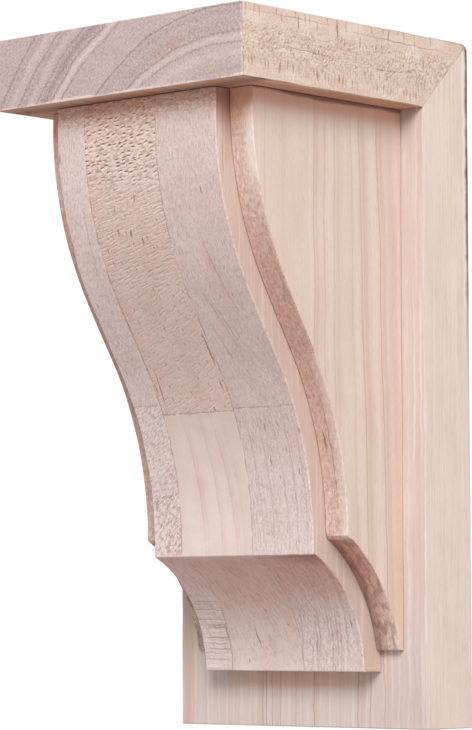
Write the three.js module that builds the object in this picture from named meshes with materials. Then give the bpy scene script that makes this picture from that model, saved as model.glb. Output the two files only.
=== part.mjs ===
import * as THREE from 'three';

// A corbel bracket glued up from five wooden parts: a shelf board mitred to a back board,
// and under the shelf a scroll-sawn block between two thinner cheeks.
// Sizes are in millimetres. X runs across the bracket, Y from its front to the wall, Z up.
// The origin is the middle of the back, which lies flat on the wall.

// The whole bracket
const bracketWidth = 146.05;
const bracketDepth = 150.5;
const bracketHeight = 304.8;

// Thickness of each board
const shelfThickness = 31.75;
const backThickness = 31.75;
const cheekThickness = 12.7;

// Gap that the glue fills between two parts
const glueLine = 0.3;

// Flat that breaks the sharp corner where the mitre reaches the top of the back
const mitreBreak = 2.5;

// From the edge of the back board to the outer face of a cheek
const cheekMargin = 12.7;

// From the front of the shelf to the front of the block, under the shelf
const shelfOverhang = 11.85;

// How far the block stands proud of the cheeks, at its front, at its step and at its foot
const faceReveal = 8.6;
const stepReveal = 7.8;
const footReveal = 8.0;

// How far the cheeks stand out from the back board, at their step and at their foot
const cheekStepProjection = 37.7;
const cheekFootProjection = 3.65;

// Height of the block's foot over the bottom of the back board, and of the cove over the foot
const footHeight = 25.0;
const coveHeight = 51.1;

// How much higher than the block's the foot and the step of a cheek are
const cheekFootLift = 9.5;
const cheekStepLift = 7.8;

// Upright stretch of a front between the shelf and the start of its curve
const blockNeckHeight = 10.25;
const cheekNeckHeight = 6.25;

// Upright stretch of a front between the end of its curve and its step
const blockRiserHeight = 5.7;
const cheekRiserHeight = 1.9;

// Straight stretch between the outward and the inward curve of a front
const slopeLength = 29.0;

// Lean of a cove off the upright where it ends at the foot
const blockCoveLean = THREE.MathUtils.degToRad(1);
const cheekCoveLean = THREE.MathUtils.degToRad(10);

// Turn of an arc from one of its points to the next
const arcStep = THREE.MathUtils.degToRad(1.5);

// Planes that the parts share, as heights over the origin, depths out from the wall
// or places across the bracket
const top = bracketHeight / 2;
const bottom = -bracketHeight / 2;
const shelfUnderside = top - shelfThickness;
const scrollTop = shelfUnderside - glueLine;
const scrollBack = backThickness + glueLine;
const cheekOuterFace = bracketWidth / 2 - cheekMargin;
const cheekInnerFace = cheekOuterFace - cheekThickness;
const blockSideFace = cheekInnerFace - glueLine;

// Half of the mitre's glue line, scaled to the sloping line from the inner to the outer corner
const mitreOffset = glueLine / 2 * Math.hypot(shelfThickness, backThickness);

// Where the block has its corners in the side view
const blockCorners = {
    front: bracketDepth - shelfOverhang,
    curveTop: shelfUnderside - blockNeckHeight,
    curveBottom: bottom + footHeight + coveHeight + blockRiserHeight,
    stepDepth: backThickness + cheekStepProjection + stepReveal,
    stepLevel: bottom + footHeight + coveHeight,
    footDepth: backThickness + cheekFootProjection + footReveal,
    footLevel: bottom + footHeight,
    coveLean: blockCoveLean,
};

// Where a cheek has its corners in the side view
const cheekCorners = {
    front: blockCorners.front - faceReveal,
    curveTop: shelfUnderside - cheekNeckHeight,
    curveBottom: blockCorners.stepLevel + cheekStepLift + cheekRiserHeight,
    stepDepth: backThickness + cheekStepProjection,
    stepLevel: blockCorners.stepLevel + cheekStepLift,
    footDepth: backThickness + cheekFootProjection,
    footLevel: blockCorners.footLevel + cheekFootLift,
    coveLean: cheekCoveLean,
};

/** A point of the side view, at a depth out from the wall and a height over the origin. */
function sidePoint(depth, height) {
    return new THREE.Vector2(-depth, height);
}

/** Points of an arc in the side view, its angles counted up from the way to the front. */
function arc(depth, height, radius, startAngle, endAngle) {
    const count = Math.max(1, Math.ceil(Math.abs(endAngle - startAngle) / arcStep));
    return Array.from({ length: count + 1 }, (_, index) => {
        const angle = THREE.MathUtils.lerp(startAngle, endAngle, index / count);
        return sidePoint(depth + radius * Math.cos(angle), height + radius * Math.sin(angle));
    });
}

/**
 * The S-shaped front. An outward arc leaves the upright at the front, an inward arc of the same
 * radius comes back to it over the step, and a straight joins the two.
 */
function scrollFront({ front, curveTop, stepDepth, curveBottom }) {
    const fallBack = front - stepDepth;
    const drop = curveTop - curveBottom;
    const lean = 2 * Math.atan(fallBack / (drop + slopeLength));
    const radius = (drop - slopeLength * Math.cos(lean)) / (2 * Math.sin(lean));
    return [
        ...arc(front - radius, curveTop, radius, 0, -lean),
        ...arc(stepDepth + radius, curveBottom, radius, Math.PI - lean, Math.PI),
    ];
}

/** The hollow under the step: one arc from the step's edge down to the foot's edge. */
function cove({ stepDepth, stepLevel, footDepth, footLevel, coveLean }) {
    const run = stepDepth - footDepth;
    const rise = stepLevel - footLevel;
    const halfTurn = Math.atan2(run, rise) - coveLean;
    const radius = Math.hypot(run, rise) / (2 * Math.sin(halfTurn));
    const depth = footDepth + radius * Math.cos(coveLean);
    const height = footLevel - radius * Math.sin(coveLean);
    const footAngle = Math.PI - coveLean;
    return arc(depth, height, radius, footAngle - 2 * halfTurn, footAngle);
}

/** The closed side outline of the block or of a cheek, from the shelf down to the foot. */
function scrollOutline(corners) {
    return [
        sidePoint(scrollBack, scrollTop),
        sidePoint(corners.front, scrollTop),
        ...scrollFront(corners),
        ...cove(corners),
        sidePoint(scrollBack, corners.footLevel),
    ];
}

/** Where a mitred face reaches a height: the shelf's face with side 1, the back board's with -1. */
function mitreAtHeight(side, height) {
    const depth = (side * mitreOffset + backThickness * (top - height)) / shelfThickness;
    return sidePoint(depth, height);
}

/** Where a mitred face reaches a depth. */
function mitreAtDepth(side, depth) {
    const height = top + (side * mitreOffset - shelfThickness * depth) / backThickness;
    return sidePoint(depth, height);
}

/** Where a mitred face meets the flat that breaks its sharp corner. */
function mitreTip(side) {
    const depth = (side * mitreOffset + backThickness * mitreBreak) / (shelfThickness + backThickness);
    return sidePoint(depth, top - mitreBreak + depth);
}

/** The side outline of the shelf board, mitred at the wall. */
function shelfOutline() {
    return [
        sidePoint(bracketDepth, top),
        sidePoint(mitreBreak, top),
        mitreTip(1),
        mitreAtHeight(1, shelfUnderside),
        sidePoint(bracketDepth, shelfUnderside),
    ];
}

/** The side outline of the back board, mitred under the shelf. */
function backOutline() {
    return [
        sidePoint(0, bottom),
        sidePoint(0, top - mitreBreak),
        mitreTip(-1),
        mitreAtDepth(-1, backThickness),
        sidePoint(backThickness, bottom),
    ];
}

/** A part with a side outline, which runs across the bracket from one place to another. */
function part(name, outline, fromX, toX, color, roughness) {
    const shape = new THREE.Shape(outline);
    const geometry = new THREE.ExtrudeGeometry(shape, { depth: toX - fromX, bevelEnabled: false });
    const material = new THREE.MeshStandardMaterial({ color, roughness, metalness: 0 });
    const mesh = new THREE.Mesh(geometry, material);
    mesh.name = name;
    mesh.position.z = fromX;
    return mesh;
}

const blockOutline = scrollOutline(blockCorners);
const cheekOutline = scrollOutline(cheekCorners);

// The parts are drawn in the side view, and this turn brings its x, y and z to Y, Z and X
const bracket = new THREE.Group();
bracket.setRotationFromAxisAngle(new THREE.Vector3(1, 1, 1).normalize(), 2 * Math.PI / 3);
bracket.add(
    part('shelf_board', shelfOutline(), -bracketWidth / 2, bracketWidth / 2, 0xd3c1b5, 0.62),
    part('back_board', backOutline(), -bracketWidth / 2, bracketWidth / 2, 0xd9c6b9, 0.6),
    part('centre_block', blockOutline, -blockSideFace, blockSideFace, 0xcdb8b0, 0.65),
    part('left_cheek', cheekOutline, -cheekOuterFace, -cheekInnerFace, 0xd6bfae, 0.62),
    part('right_cheek', cheekOutline, cheekInnerFace, cheekOuterFace, 0xd6bfae, 0.62),
);

export default bracket;
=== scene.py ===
"""A corbel bracket of bare hardwood, dressed around its solid frame.

Lengths are in metres, apart from the patterns in the wood, which are laid out in millimetres.
X runs across the bracket, Y from its front to the wall and Z up, and the origin is the middle
of the back. A point of the side view is written as its depth out from the wall and its height.
"""
import math
from typing import NamedTuple

import bpy
import numpy as np
from bpy.props import FloatProperty, FloatVectorProperty, PointerProperty
from mathutils import Matrix, Vector


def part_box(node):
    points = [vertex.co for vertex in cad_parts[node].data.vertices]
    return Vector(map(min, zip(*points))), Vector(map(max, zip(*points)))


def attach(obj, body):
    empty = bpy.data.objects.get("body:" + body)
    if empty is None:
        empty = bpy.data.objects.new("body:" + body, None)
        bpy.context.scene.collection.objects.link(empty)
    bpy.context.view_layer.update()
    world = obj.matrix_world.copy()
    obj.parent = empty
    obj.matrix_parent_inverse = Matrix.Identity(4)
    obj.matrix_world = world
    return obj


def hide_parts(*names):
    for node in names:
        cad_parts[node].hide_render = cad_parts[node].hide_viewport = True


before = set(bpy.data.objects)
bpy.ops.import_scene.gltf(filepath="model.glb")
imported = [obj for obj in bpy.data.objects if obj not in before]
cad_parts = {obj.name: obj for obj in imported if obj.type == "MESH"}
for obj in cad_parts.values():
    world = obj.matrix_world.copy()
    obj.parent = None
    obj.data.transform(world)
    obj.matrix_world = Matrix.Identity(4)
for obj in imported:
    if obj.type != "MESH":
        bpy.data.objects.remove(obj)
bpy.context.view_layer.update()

bl_info = {
    "name": "Corbel Bracket",
    "version": (1, 0, 0),
    "blender": (4, 5, 0),
    "location": "View3D > Sidebar > Corbel",
    "description": "Dresses a wooden corbel bracket around its solid frame",
    "category": "Object",
}

MM = 0.001

# Spacing of the points that a side outline is first worked out with
FINE = 0.03 * MM

# Segments in the round of an eased edge, across the edge
EASE_STEPS = 3

# Turn between two faces over which the edge between them stays crisp
CRISP_TURN = math.radians(35)

# Least distance of a row from the ends of its run
END_CLEAR = 0.05 * MM

# Extra rows on both sides of a sharp change in a front, and near an eased end of it in radii
CHANGE_ROWS = (0.15 * MM, 0.3 * MM, 0.45 * MM)
END_ROWS = np.array([0.16, 0.32, 0.48, 0.64, 0.8, 1.1, 1.6])

# Strip along the sides and the ends of a front over which its relief fades out
SIDE_FADE, END_FADE = 1.5 * MM, 1.0 * MM

# Between an eased edge and the first column of a front
EDGE_CLEAR = 0.25 * MM

# Waves that are added up for an unevenness, how long they are at least and at most as shares of
# its size, and the swing of their sum
WAVE_COUNT = 12
WAVE_SPREAD = (0.7, 1.6)
WAVE_SWING = 0.75 * WAVE_COUNT

# Hand sanding leaves an arris between this share of its radius and that share more
ARRIS_LEAST, ARRIS_MORE = 0.65, 0.7
ARRIS_WAVE, ARRIS_SEED = 25 * MM, 17

# Heights of view, as sines, between which the room's light changes from low to high
LOW_VIEW, HIGH_VIEW = -0.25, 0.35

# Width of the camera's sensor in mm
SENSOR_WIDTH = 36

WHITE = (1.0, 1.0, 1.0, 1.0)

# How matt the floor's paint is
FLOOR_ROUGHNESS = 0.9

SHELF_LOW, SHELF_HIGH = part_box("shelf_board")
BACK_LOW, BACK_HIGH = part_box("back_board")
BLOCK_LOW, BLOCK_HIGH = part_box("centre_block")
LEFT_LOW, LEFT_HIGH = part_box("left_cheek")
RIGHT_LOW, RIGHT_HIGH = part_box("right_cheek")


def linear(hex_colour):
    """The linear colour, with full alpha, of an sRGB hex value such as #d9c6b9."""
    parts = np.array([int(hex_colour[i:i + 2], 16) for i in (1, 3, 5)]) / 255
    low = parts / 12.92
    high = ((parts + 0.055) / 1.055) ** 2.4
    return (*np.where(parts <= 0.04045, low, high), 1.0)


def added(name, data):
    """Adds an object that shows the data to the scene."""
    made = bpy.data.objects.new(name, data)
    bpy.context.scene.collection.objects.link(made)
    return made


def length(name, description, default):
    """A length property, shown in the scene's unit."""
    return FloatProperty(name=name, description=description, default=default, unit="LENGTH", precision=5)


def angle(name, description, degrees):
    """An angle property."""
    return FloatProperty(name=name, description=description, default=math.radians(degrees), subtype="ANGLE")


def colour(name, description, hex_colour):
    """A colour property with its default as an sRGB hex value."""
    return FloatVectorProperty(name=name, description=description, default=linear(hex_colour),
                               size=4, min=0, max=1, subtype="COLOR")


class BracketSizes(bpy.types.PropertyGroup):
    """Sizes of the outlines that the frame's boxes don't give."""

    glue_line: length("Glue line", "Gap that the glue fills between two parts", 0.12 * MM)
    mitre_break: length("Mitre break", "Flat that breaks the sharp corner at the top of the back", 2.5 * MM)
    step_projection: length("Step projection", "How far a cheek's step stands out from the back board",
                            37.7 * MM)
    step_reveal: length("Step reveal", "How far the block stands proud of the cheeks at the step", 7.8 * MM)
    foot_projection: length("Foot projection", "How far a cheek's foot stands out from the back board",
                            3.65 * MM)
    left_set_back: length("Left set-back", "How much farther back the left cheek's front is", 1.2 * MM)
    foot_reveal: length("Foot reveal", "How far the block stands proud of the cheeks at the foot", 8.0 * MM)
    cove_height: length("Cove height", "Height of the block's step over its foot", 51.1 * MM)
    step_lift: length("Step lift", "How much higher a cheek's step is than the block's", 7.8 * MM)
    block_neck: length("Block neck", "Upright stretch of the block's front over its curve", 10.25 * MM)
    cheek_neck: length("Cheek neck", "Upright stretch of a cheek's front over its curve", 6.25 * MM)
    block_riser: length("Block riser", "Upright stretch of the block's front over its step", 5.7 * MM)
    cheek_riser: length("Cheek riser", "Upright stretch of a cheek's front over its step", 1.9 * MM)
    slope: length("Slope", "Straight stretch between the two curves of a front", 29.0 * MM)
    block_cove_lean: angle("Block cove lean", "Lean of the block's cove off the upright at its foot", 1)
    cheek_cove_lean: angle("Cheek cove lean", "Lean of a cheek's cove off the upright at its foot", 10)


class EdgeSizes(bpy.types.PropertyGroup):
    """How far sanding has rounded the edges and the faces."""

    corner: length("Corner", "Radius of an open edge that runs across the bracket", 0.7 * MM)
    arris: length("Arris", "Radius of an open edge along a board's side", 0.55 * MM)
    joint_arris: length("Joint arris", "Radius of an edge in a glued joint", 0.1 * MM)
    chip_width: length("Chip width", "Width of the chip at the inner end of the right cheek's step", 4.0 * MM)
    chip_reach: length("Chip reach", "How far that chip runs up and down from the step", 1.2 * MM)
    chip_depth: length("Chip depth", "Depth of that chip at the step's edge", 0.6 * MM)
    sanding: length("Sanding", "Depth of the shallow hollows that sanding left in a face", 0.09 * MM)


class StaveSizes(bpy.types.PropertyGroup):
    """Where the staves of the block meet: across it, and down its front."""

    left_seam: length("Left seam", "Place across of the seam between left and middle", -30.6 * MM)
    right_seam: length("Right seam", "Place across of the seam between middle and right", 12.0 * MM)
    left_cut: length("Left butt joint", "Distance down the front to the left butt joint", 141.0 * MM)
    middle_cut: length("Middle butt joint", "Distance down the front to the middle butt joint", 145.5 * MM)
    right_cut: length("Right butt joint", "Distance down the front to the right butt joint", 144.3 * MM)
    seam_depth: length("Seam depth", "Depth of the fine groove where two staves meet", 0.10 * MM)
    seam_width: length("Seam width", "Half width of that groove", 0.35 * MM)


class WoodColours(bpy.types.PropertyGroup):
    """Colours of the bare wood and of the figure in it, and of the painted shade and highlight laid over it.
    """

    end_grain: colour("End grain", "Sawn and sanded end of the shelf board", "#bda8a6")
    ring: colour("Growth rings", "Late wood of the rings in the end grain", "#785d5a")
    shelf: colour("Shelf side", "Long grain of the shelf board", "#dfc5b4")
    # Painted shade: the underside is a darker, warmer copy of the shelf's long grain, standing in for the
    # shade and warm reflected light under the shelf
    under: colour("Shelf underside", "Long grain of the shelf board's hidden faces", "#c58f72")
    fleck: colour("Flecks", "Fine flecks in the shelf board's long grain", "#a27662")
    ray: colour("Rays", "Rays in the shelf board's long grain", "#935c49")
    back: colour("Back", "Long grain of the back board", "#ead7cb")
    # The front of the back board is darker than its other faces: partly its own lavender tone, partly painted
    # shade from the block over it
    back_face: colour("Back board face", "Front of the back board", "#d6c6c0")
    block_side: colour("Block sides", "Side faces of the block", "#d4bdb1")
    line: colour("Growth lines", "Late wood of the back board and the cheeks", "#b98f7a")
    stave: colour("Staves", "Wood of the outer lower staves", "#e1ccc9")
    stave_pale: colour("Palest stave", "Wood of the middle lower stave", "#e3d1cb")
    stave_grey: colour("Greyest staves", "Wood of the outer upper staves", "#e0cac6")
    stave_brown: colour("Brownest stave", "Wood of the middle upper stave", "#e2c5bd")
    # Besides the real rays and pores, this colour is laid as painted shade on the cheeks' edges where they
    # face down
    figure_and_shade: colour("Figure", "Rays and pores of the staves and of the cheeks' edges", "#7d574b")
    pink: colour("Pink wood", "Pinker heart wood", "#c8998a")
    # Besides real pale early wood, this colour is laid as a painted highlight along the shelf's lower front
    # edge and lightens the painted shade under the shelf
    pale_wood_and_highlight: colour("Pale wood", "Palest early wood", "#f3e2da")
    # Besides real pores and cracks, this colour is laid as painted shade: dark lines and patches where the
    # shelf, the block and the step shade the wood
    pore_and_shade: colour("Pores", "Open pores and cracks", "#664238")
    # Painted shade: a warm colour laid where the shelf and the block's foot shade the wood, standing in for
    # that shade and its warm reflected light
    painted_warm_shade: colour("Shaded wood", "Wood in the shade of the shelf", "#ffa878")
    cove_shade: colour("Cove", "Wood in the shade of the step", "#cc7a66")
    cheek: colour("Cheeks", "Side faces of the cheeks", "#e4cdc0")
    cheek_edge: colour("Cheek edges", "Sawn front edges of the cheeks", "#dbbdb0")
    glue: colour("Glue", "Dried glue in the seams of the block", "#7d5a4d")


class StudioSizes(bpy.types.PropertyGroup):
    """The camera's and the lights' places and the floor."""

    lens: FloatProperty(name="Lens", description="Focal length of the camera", default=166.5, unit="CAMERA")
    camera_place: FloatVectorProperty(name="Camera", description="Where the camera stands", unit="LENGTH",
                                      default=(1.00438, -1.178, -0.10369), subtype="TRANSLATION")
    camera_turn: angle("Turn", "Turn of the camera round the upright", 42.300)
    camera_tilt: angle("Tilt", "Tilt of the camera over the horizon", 4.289)
    camera_roll: angle("Roll", "Roll of the camera about its own line of sight", -0.184)
    floor_drop: length("Floor drop", "How far the floor lies below the bracket", 1.5)
    floor_size: length("Floor size", "Width and depth of the floor", 4.0)
    floor_colour: colour("Floor", "Matt paint of the floor", "#e6e4e1")
    sky: FloatProperty(name="Room light", description="Even light from above", default=0.62)
    sky_below: FloatProperty(name="Low room light", description="Even light from below", default=0.33)
    key_power: FloatProperty(name="Key light", description="Power of the large soft light", default=72.0,
                             unit="POWER")
    key_place: FloatVectorProperty(name="Key place", description="Where the large soft light hangs",
                                   default=(1.55, -1.85, 1.5), subtype="TRANSLATION", unit="LENGTH")
    key_size: length("Key size", "Width and height of the large soft light", 1.3)


# Side outlines

def line(start, end):
    """A straight run of the side view."""
    return np.array([start, end], float)


def arc(centre, radius, start, end):
    """A round run of the side view: centre + radius x (cosine, sine) of angles counted up from
    the way to the front."""
    count = max(3, math.ceil(abs(end - start) * radius / FINE))
    turn = np.linspace(start, end, count)
    return np.stack([centre[0] + radius * np.cos(turn), centre[1] + radius * np.sin(turn)], axis=1)


def eased(before, after, radius):
    """Two runs that meet in a corner, each with its half of an arc that touches both. The arc
    starts and ends radius x tan(turn / 2) from the corner."""
    corner = before[-1]
    way_in = (corner - before[-2]) / np.linalg.norm(corner - before[-2])
    way_out = (after[1] - corner) / np.linalg.norm(after[1] - corner)
    turn = math.atan2(way_in[0] * way_out[1] - way_in[1] * way_out[0], way_in @ way_out)
    reach = radius * math.tan(abs(turn) / 2)
    inward = np.array([-way_in[1], way_in[0]]) * math.copysign(1, turn)
    centre = corner - reach * way_in + radius * inward
    first = math.atan2(-inward[1], -inward[0])
    bend = arc(centre, radius, first, first + turn)
    middle = len(bend) // 2
    kept_before = before[np.linalg.norm(before - corner, axis=1) > reach]
    kept_after = after[np.linalg.norm(after - corner, axis=1) > reach]
    return np.vstack([kept_before, bend[:middle + 1]]), np.vstack([bend[middle:], kept_after])


def walk(run):
    """How far along a run each of its points is."""
    return np.concatenate([[0.0], np.cumsum(np.linalg.norm(np.diff(run, axis=0), axis=1))])


def sampled(run, places):
    """The points of a run at those distances along it."""
    far = walk(run)
    return np.stack([np.interp(places, far, run[:, i]) for i in (0, 1)], axis=1)


def spread(reach, gap, marks=(), steps=(0.3 * MM,)):
    """Places from 0 to reach, about gap apart, with one at each mark and at the given steps on
    both sides of it."""
    even = np.linspace(0, reach, max(2, round(reach / gap)) + 1)
    marks = np.asarray(marks, float)
    offsets = np.concatenate([[0.0], np.array(steps), -np.array(steps)])
    own = (marks[:, None] + offsets).ravel()
    if len(marks):
        even = even[np.abs(even[:, None] - marks).min(axis=1) > max(steps) + gap / 3]
    inside = np.concatenate([even, own])
    inside = inside[(inside > END_CLEAR) & (inside < reach - END_CLEAR)]
    return np.unique(np.round(np.concatenate([[0.0], inside, [reach]]), 8))


def scroll_front(corners):
    """The S-shaped front. With f the fall back and d the drop from the neck to the riser, and s
    the straight slope, each arc turns by 2 x atan(f / (d + s)), and its radius makes the two arcs
    and the slope come out d high."""
    fall = corners["front"] - corners["step_depth"]
    drop = corners["curve_top"] - corners["curve_bottom"]
    lean = 2 * math.atan(fall / (drop + corners["slope"]))
    radius = (drop - corners["slope"] * math.cos(lean)) / (2 * math.sin(lean))
    upper = arc((corners["front"] - radius, corners["curve_top"]), radius, 0, -lean)
    lower = arc((corners["step_depth"] + radius, corners["curve_bottom"]), radius, math.pi - lean, math.pi)
    return np.vstack([upper, lower])


def cove(corners):
    """The hollow under the step: one arc from the step's edge to the foot's edge, which meets
    the foot at the cove's lean off the upright."""
    run = corners["step_depth"] - corners["foot_depth"]
    rise = corners["step_level"] - corners["foot_level"]
    half_turn = math.atan2(run, rise) - corners["cove_lean"]
    radius = math.hypot(run, rise) / (2 * math.sin(half_turn))
    lean = corners["cove_lean"]
    centre = (corners["foot_depth"] + radius * math.cos(lean),
              corners["foot_level"] - radius * math.sin(lean))
    return arc(centre, radius, math.pi - lean - 2 * half_turn, math.pi - lean)


def block_corners(sizes):
    """Where the block has its corners in the side view."""
    step_level = BLOCK_LOW.z + sizes.cove_height
    return {
        "top": BLOCK_HIGH.z,
        "back": -BLOCK_HIGH.y,
        "front": -BLOCK_LOW.y,
        "curve_top": SHELF_LOW.z - sizes.block_neck,
        "curve_bottom": step_level + sizes.block_riser,
        "step_depth": -BACK_LOW.y + sizes.step_projection + sizes.step_reveal,
        "step_level": step_level,
        "foot_depth": -BACK_LOW.y + sizes.foot_projection + sizes.foot_reveal,
        "foot_level": BLOCK_LOW.z,
        "slope": sizes.slope,
        "cove_lean": sizes.block_cove_lean,
    }


def cheek_corners(sizes, set_back):
    """Where a cheek has its corners in the side view, its front set back by so much."""
    step_level = BLOCK_LOW.z + sizes.cove_height + sizes.step_lift
    return {
        "top": RIGHT_HIGH.z,
        "back": -RIGHT_HIGH.y,
        "front": -RIGHT_LOW.y - set_back,
        "curve_top": SHELF_LOW.z - sizes.cheek_neck,
        "curve_bottom": step_level + sizes.cheek_riser,
        "step_depth": -BACK_LOW.y + sizes.step_projection - set_back,
        "step_level": step_level,
        "foot_depth": -BACK_LOW.y + sizes.foot_projection - set_back,
        "foot_level": RIGHT_LOW.z,
        "slope": sizes.slope,
        "cove_lean": sizes.cheek_cove_lean,
    }


def scroll_runs(corners, edges):
    """The front, foot, back and top runs of a scroll-sawn piece's outline, and how far down the
    front its step is."""
    top, back, foot = corners["top"], corners["back"], corners["foot_level"]
    step_edge = (corners["step_depth"], corners["step_level"])
    upper = np.vstack([[(corners["front"], top)], scroll_front(corners), [step_edge]])
    upper, lower = eased(upper, cove(corners), edges.corner)
    step = walk(upper)[-1]
    front = np.vstack([upper, lower[1:]])
    front, bottom = eased(front, line((corners["foot_depth"], foot), (back, foot)), edges.corner)
    return (front, bottom, line((back, foot), (back, top)), line((back, top), (corners["front"], top))), step


def mitre_offset(sizes):
    """Half of the mitre's glue line, scaled to the sloping line from the inner corner to the outer."""
    return sizes.glue_line / 2 * math.hypot(SHELF_HIGH.z - SHELF_LOW.z, BACK_LOW.y)


def shelf_runs(sizes, edges):
    """The runs of the shelf board's outline. The mitre is the line whose depth grows by the back
    board's thickness over the shelf's, and the flat that breaks its tip is at 45 degrees."""
    top, under, front = SHELF_HIGH.z, SHELF_LOW.z, -SHELF_LOW.y
    thick, back_thick = top - under, -BACK_LOW.y
    offset = mitre_offset(sizes)
    tip = (offset + back_thick * sizes.mitre_break) / (thick + back_thick)
    inner = (offset + back_thick * thick) / thick
    face = line((front, top), (front, under))
    bottom = line((front, under), (inner, under))
    mitre = np.array([(inner, under), (tip, top - sizes.mitre_break + tip), (sizes.mitre_break, top)])
    lid = line((sizes.mitre_break, top), (front, top))
    face, bottom = eased(face, bottom, edges.corner)
    lid, face = eased(lid, face, edges.corner)
    return face, bottom, mitre, lid


def back_runs(sizes, edges):
    """The runs of the back board's outline: the mitre and the face below it, the end, the wall
    side, and the flat that breaks the tip."""
    top, under, front, foot = SHELF_HIGH.z, SHELF_LOW.z, -BACK_LOW.y, BACK_LOW.z
    thick = top - under
    offset = mitre_offset(sizes)
    tip = (front * sizes.mitre_break - offset) / (thick + front)
    corner_level = top - (offset + thick * front) / front
    face = np.array([(tip, top - sizes.mitre_break + tip), (front, corner_level), (front, foot)])
    bottom = line((front, foot), (0, foot))
    wall = line((0, foot), (0, top - sizes.mitre_break))
    broken = line((0, top - sizes.mitre_break), (tip, top - sizes.mitre_break + tip))
    face, bottom = eased(face, bottom, edges.corner)
    bottom, wall = eased(bottom, wall, edges.corner)
    return face, bottom, wall, broken


# Relief of the faces

def waves(first, second, size, seed):
    """A gentle unevenness from 0 to 1 over two coordinates: a sum of plane waves, each about size
    long and with its own heading and phase from the seed."""
    rng = np.random.default_rng(seed)
    heading = rng.uniform(0, 2 * math.pi, WAVE_COUNT)
    number = 2 * math.pi / (size * rng.uniform(*WAVE_SPREAD, WAVE_COUNT))
    phase = rng.uniform(0, 2 * math.pi, WAVE_COUNT)
    total = sum(np.sin(k * (np.cos(h) * first + np.sin(h) * second) + p)
                for k, h, p in zip(number, heading, phase))
    return np.clip(0.5 + total / WAVE_SWING, 0, 1)


def hill(distance, width):
    """1 at no distance, falling off as a straight slope to 0 at the width."""
    return np.clip(1 - np.abs(distance) / width, 0, 1)


# Meshes

def sheet_of_faces(index):
    """The four-sided faces between the rows and columns of an array of vertex numbers."""
    return np.stack([index[:-1, :-1], index[1:, :-1], index[1:, 1:], index[:-1, 1:]], axis=-1).reshape(-1, 4)


def outward(loop):
    """For each point of a closed outline, the move that takes it out by one from both edges
    beside it: the two edges' normals added, over 1 + their product."""
    edge = np.roll(loop, -1, axis=0) - loop
    edge = edge / np.linalg.norm(edge, axis=1)[:, None]
    normal = np.stack([-edge[:, 1], edge[:, 0]], axis=1)
    before = np.roll(normal, 1, axis=0)
    return (normal + before) / (1 + (normal * before).sum(axis=1))[:, None]


def filled(front, back, top, bottom):
    """Points over the region between four border runs, as rows from top to bottom. Each is the
    blend across plus the blend down, less the blend of the four corners (a Coons patch)."""
    down = (walk(back) / walk(back)[-1])[:, None, None]
    over = (walk(top) / walk(top)[-1])[None, :, None]
    across = (1 - over) * front[:, None] + over * back[:, None]
    downward = (1 - down) * top[None] + down * bottom[None]
    corners = ((1 - down) * ((1 - over) * top[0] + over * top[-1])
               + down * ((1 - over) * bottom[0] + over * bottom[-1]))
    return across + downward - corners


class Board:
    """The mesh of a board while it is worked out: its side outline carried across X with eased
    edges, closed by a patch on either side.

    runs are the front, bottom, back and top runs of the outline, rows the places down the front
    and columns the places from front to back. across are the places along X from one side to the
    other, clear of the eased edges, and arris gives an edge's radius by depth and height."""

    def __init__(self, runs, rows, columns, low_x, high_x, across, arris):
        front = sampled(runs[0], rows)
        heights = (front[:, 1] - front[-1, 1]) / (front[0, 1] - front[-1, 1])
        back = runs[2]
        levels = back[0, 1] + heights * (back[-1, 1] - back[0, 1])
        back = np.stack([np.interp(levels, runs[2][:, 1], runs[2][:, 0]), levels], axis=1)
        bottom = sampled(runs[1], columns * walk(runs[1])[-1])
        top = sampled(runs[3], (1 - columns[::-1]) * walk(runs[3])[-1])
        self.rows, self.columns = len(front), len(bottom)
        self.loop = np.vstack([front[:-1], bottom[:-1], back[::-1][:-1], top[:-1]])
        self.far = walk(self.loop)
        self.low_x, self.high_x = low_x, high_x
        self.across = across
        self.arris = arris(self.loop[:, 0], self.loop[:, 1])

    def mantle(self, relief):
        """The outline carried across X. On an eased edge with radius r and at an angle a, a point
        is r(1 - sin a) in from the side and r(1 - cos a) in from the outline."""
        turn = np.linspace(math.pi / 2, 0, EASE_STEPS + 1)
        radius = self.arris[:, None]
        left_x = self.low_x + radius * (1 - np.sin(turn))
        right_x = self.high_x - radius * (1 - np.sin(turn[::-1]))
        round_in = radius * (1 - np.cos(turn))
        middle_x = np.broadcast_to(self.across, (len(self.loop), len(self.across)))
        x = np.hstack([left_x, middle_x, right_x])
        inset = np.hstack([round_in, np.zeros_like(middle_x), round_in[:, ::-1]])
        walked = np.broadcast_to(self.far[:, None], x.shape)
        inset = inset + relief(x, walked)
        move = outward(self.loop)
        depth = self.loop[:, :1] - inset * move[:, :1]
        height = self.loop[:, 1:] - inset * move[:, 1:]
        return np.stack([x, -depth, height], axis=-1), walked


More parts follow.
